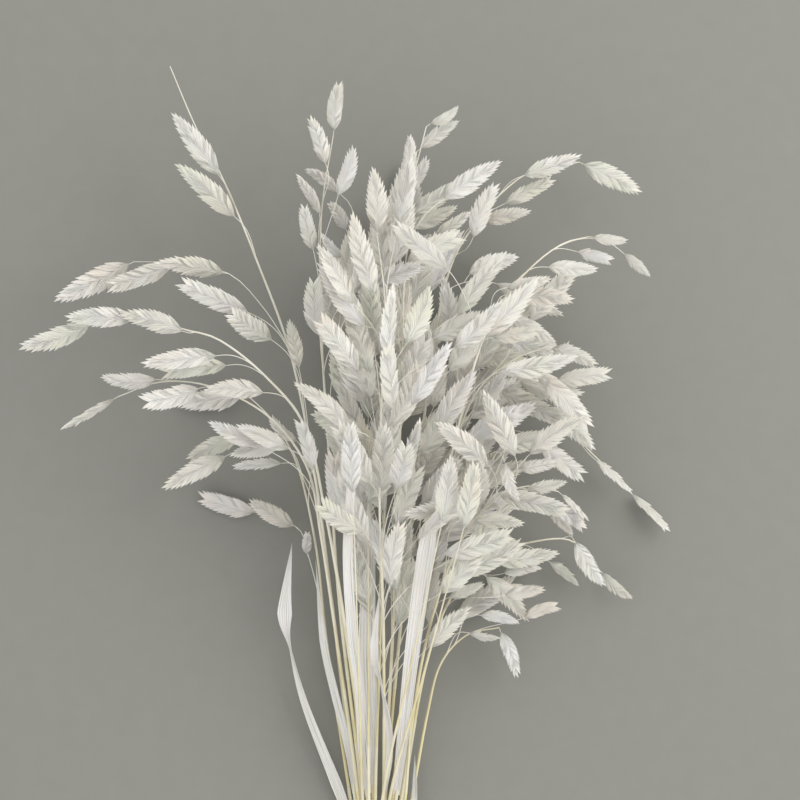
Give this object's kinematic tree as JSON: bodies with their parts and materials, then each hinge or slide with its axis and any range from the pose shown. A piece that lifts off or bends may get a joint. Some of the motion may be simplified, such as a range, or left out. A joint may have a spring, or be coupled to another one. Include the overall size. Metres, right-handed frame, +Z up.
{
  "type": "dried northern sea oats bunch",
  "caption": "Loose lying bunch of dried, bleached northern sea oats: slender culms that fan out into arching branches with flat, toothed, drooping seed heads and a few ribbon leaves.",
  "frame": {"origin": "on the surface that the bunch lies on, under the middle culm of the lowest layer, where a hand would hold the bunch", "axes": "+Y along the culms from the cut ends to the seed heads, +Z up from the surface, +X to the right as seen from above"},
  "size_m": [0.3529, 0.6002, 0.128],
  "materials": {
    "bleached_oats": "dry, matt, papery husks, bleached to a warm white",
    "straw_culms": "dry straw with a faint sheen, pale yellow",
    "bleached_leaves": "dry, matt, thin, ribbed ribbons, off-white"
  },
  "bodies": {
    "root": {"leafy_stem_01": "bleached_oats", "leafy_stem_02": "bleached_oats", "leafy_stem_03": "bleached_oats", "leafy_stem_04": "bleached_oats", "leafy_stem_05": "bleached_oats", "leafy_stem_06": "bleached_oats", "leafy_stem_07": "bleached_oats", "leafy_stem_08": "bleached_oats", "leafy_stem_09": "bleached_oats", "leafy_stem_10": "bleached_oats", "leafy_stem_11": "bleached_oats", "leafy_stem_12": "bleached_oats", "leafy_stem_13": "bleached_oats", "leafy_stem_14": "bleached_oats", "leafy_stem_15": "bleached_oats", "leafy_stem_16": "bleached_oats"}
  },
  "joints": []
}
